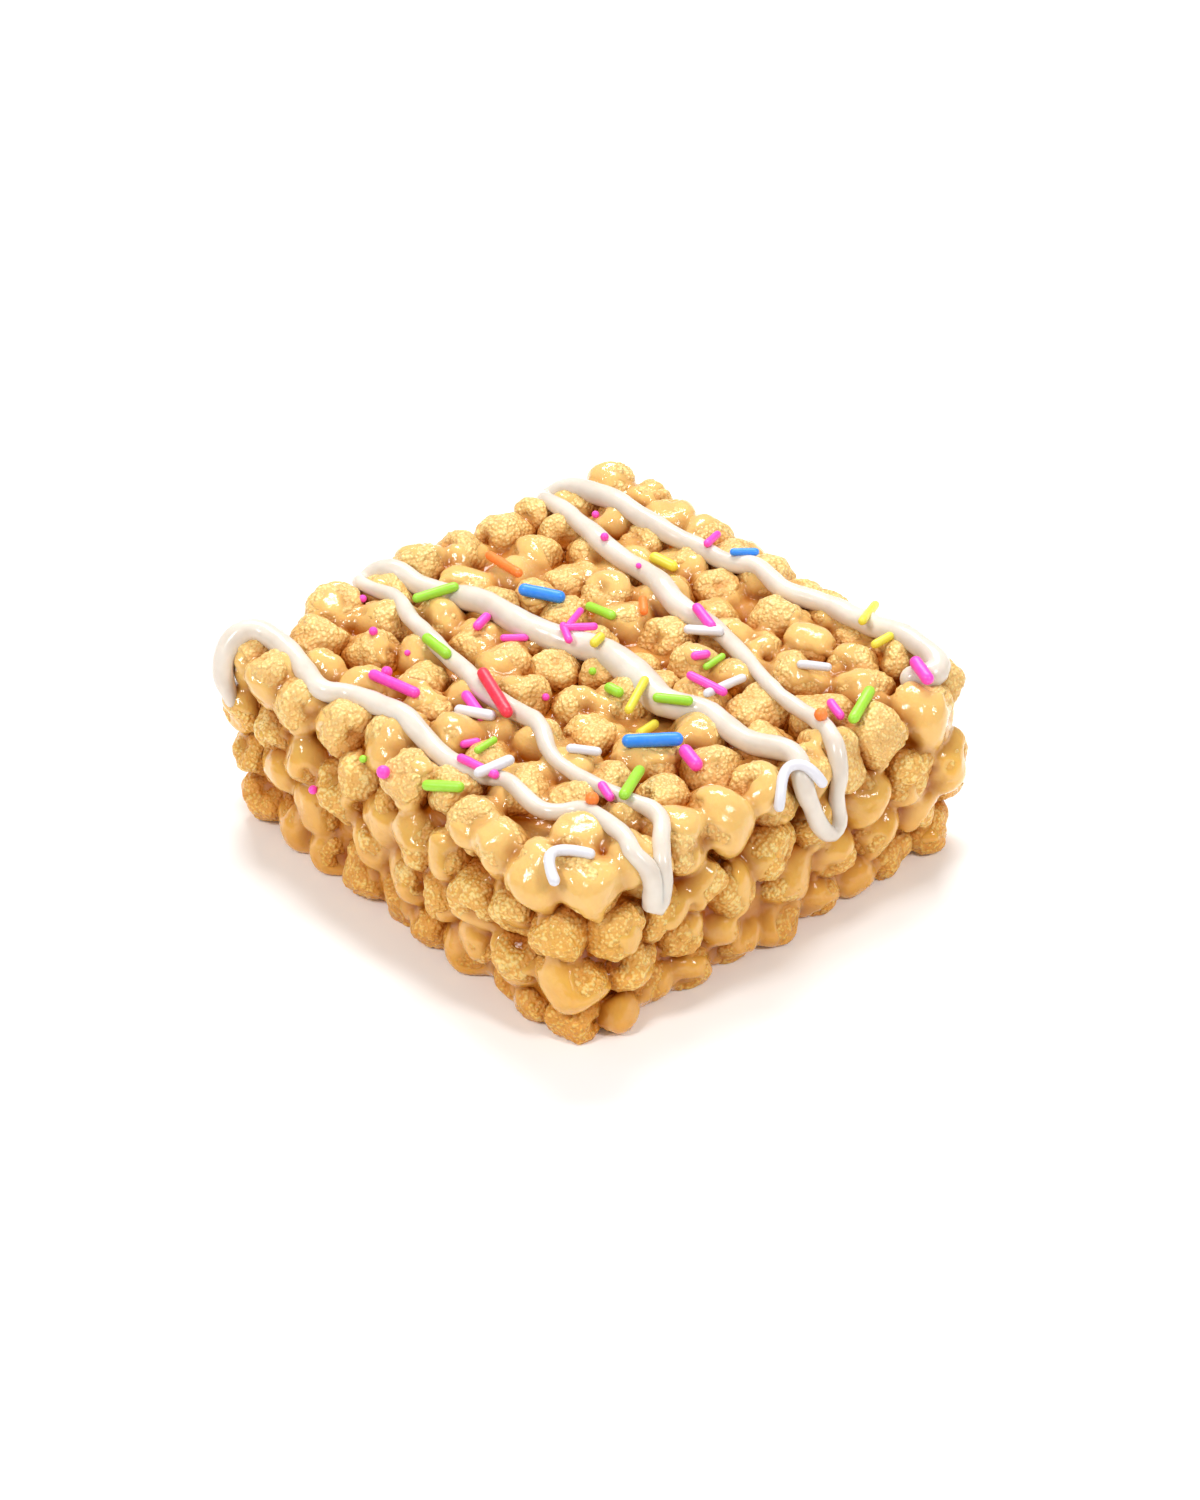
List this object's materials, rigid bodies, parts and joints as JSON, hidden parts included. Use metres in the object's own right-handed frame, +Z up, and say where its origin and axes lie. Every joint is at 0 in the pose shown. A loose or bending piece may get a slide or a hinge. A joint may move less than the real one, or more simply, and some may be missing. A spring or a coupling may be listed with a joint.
{
  "type": "protein puff bar",
  "caption": "Square snack bar of puffed protein crisps bound with caramel, topped with zigzag icing drizzle and candy sprinkles, for table, shelf and food scenes.",
  "frame": {"origin": "middle of the flat underside, on the surface that the bar lies on", "axes": "+Z up through the iced top, +X along the strands of icing, +Y across them"},
  "size_m": [0.0664, 0.064, 0.0247],
  "materials": {
    "puffed_crisp": "matte"
  },
  "bodies": {
    "root": {"puff_bar": "puffed_crisp"}
  },
  "joints": []
}
